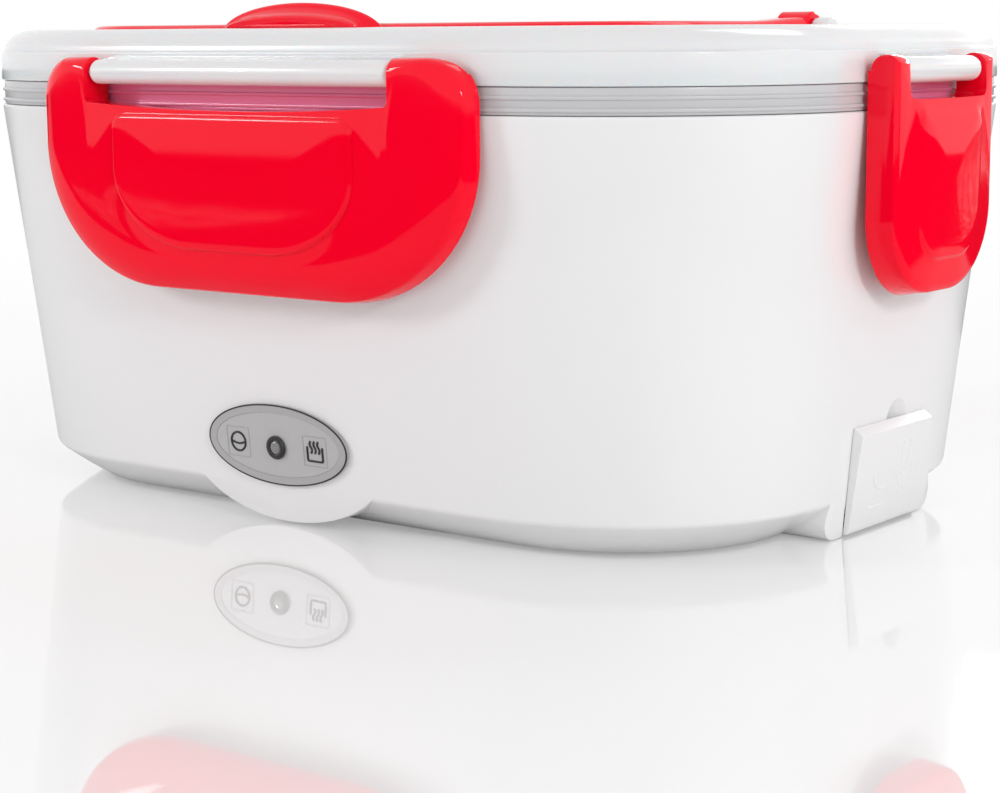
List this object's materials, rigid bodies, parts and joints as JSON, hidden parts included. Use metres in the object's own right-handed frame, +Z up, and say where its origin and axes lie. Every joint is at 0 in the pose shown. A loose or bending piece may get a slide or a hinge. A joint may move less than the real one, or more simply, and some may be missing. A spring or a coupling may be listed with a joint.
{
  "type": "electric lunch box",
  "caption": "Portable electric lunch box with a tapered heated housing, lift-off latched lid, folding carry handle, lift-out food container and covered power inlet.",
  "frame": {"origin": "on the table under the middle of the box's outline", "axes": "+X along the long side towards the power inlet, +Y towards the back, +Z up"},
  "size_m": [0.2386, 0.1724, 0.1098],
  "materials": {
    "white_plastic": "smooth satin gloss",
    "milky_plastic": "translucent satin",
    "red_plastic": "polished",
    "black_plastic": "fine texture",
    "silver_label": "metallic print",
    "smoked_lens": "clear moulded",
    "led_epoxy": "clear moulded",
    "board_green": "solder mask",
    "screw_steel": "zinc plated",
    "plated_brass": "nickel plated",
    "plate_aluminium": "satin",
    "heater_ceramic": "insulating film",
    "insulation": "felted",
    "lead_sheath": "silicone sheath",
    "black_rubber": "matt",
    "grey_silicone": "soft satin",
    "red_silicone": "soft satin"
  },
  "bodies": {
    "base": {"outer_shell": "white_plastic", "inner_liner": "white_plastic", "base_cover": "white_plastic", "base_screws": "screw_steel", "rubber_feet": "black_rubber", "heating_plate": "plate_aluminium", "ptc_heater": "heater_ceramic", "heater_clamp": "screw_steel", "clamp_screws": "screw_steel", "insulation_pad": "insulation", "thermal_fuse": "heater_ceramic", "heater_leads": "lead_sheath", "inlet_socket": "black_plastic", "inlet_pins": "plated_brass", "inlet_screws": "screw_steel", "cover_pin": "screw_steel", "lamp_panel": "silver_label", "lamp_bezel": "black_plastic", "lamp_lens": "smoked_lens", "lamp_led": "led_epoxy", "lamp_board": "board_green", "lamp_leads": "lead_sheath"},
    "lid": {"lid_shell": "milky_plastic", "lid_gasket": "grey_silicone"},
    "vent": {"vent_plug": "red_silicone"},
    "handle": {"carry_handle": "red_plastic"},
    "latch_front": {"front_latch": "red_plastic"},
    "latch_back": {"back_latch": "red_plastic"},
    "latch_right": {"right_latch": "red_plastic"},
    "latch_left": {"left_latch": "red_plastic"},
    "container": {"food_container": "milky_plastic"},
    "tray": {"side_tray": "milky_plastic"},
    "tray_cap": {"tray_lid": "red_plastic"},
    "inlet_flap": {"inlet_cover": "white_plastic"}
  },
  "joints": [
    {"name": "lid_lift", "type": "slide", "parent": "base", "child": "lid", "axis": [0, 0, 1], "range_m": [0, 0.16]},
    {"name": "container_lift", "type": "slide", "parent": "base", "child": "container", "axis": [0, 0, 1], "range_m": [0, 0.072]},
    {"name": "tray_lift", "type": "slide", "parent": "container", "child": "tray", "axis": [0, 0, 1], "range_m": [0, 0.0528]},
    {"name": "tray_lid_lift", "type": "slide", "parent": "tray", "child": "tray_cap", "axis": [0, 0, 1], "range_m": [0, 0.0192]},
    {"name": "front_latch_hinge", "type": "hinge", "parent": "lid", "child": "latch_front", "pos_m": [0, -0.0816, 0.0956], "axis": [-1, 0, 0], "range_deg": [0, 110]},
    {"name": "back_latch_hinge", "type": "hinge", "parent": "lid", "child": "latch_back", "pos_m": [0, 0.0816, 0.0956], "axis": [1, 0, 0], "range_deg": [0, 110]},
    {"name": "right_latch_hinge", "type": "hinge", "parent": "lid", "child": "latch_right", "pos_m": [0.1146, 0, 0.0956], "axis": [0, -1, 0], "range_deg": [0, 110]},
    {"name": "left_latch_hinge", "type": "hinge", "parent": "lid", "child": "latch_left", "pos_m": [-0.1146, 0, 0.0956], "axis": [0, 1, 0], "range_deg": [0, 110]},
    {"name": "handle_hinge", "type": "hinge", "parent": "lid", "child": "handle", "pos_m": [0, 0.01, 0.1034], "axis": [-1, 0, 0], "range_deg": [0, 100]},
    {"name": "vent_lift", "type": "slide", "parent": "lid", "child": "vent", "axis": [0, 0, 1], "range_m": [0, 0.008]},
    {"name": "inlet_flap_hinge", "type": "hinge", "parent": "base", "child": "inlet_flap", "pos_m": [0.1014, 0.0035, 0.0038], "axis": [0, 1, 0], "range_deg": [0, 80]}
  ],
  "couplings": [
    {"joint": "container_lift", "follows": "lid_lift", "ratio": 0.45},
    {"joint": "tray_lift", "follows": "lid_lift", "ratio": 0.33},
    {"joint": "tray_lid_lift", "follows": "lid_lift", "ratio": 0.12}
  ]
}
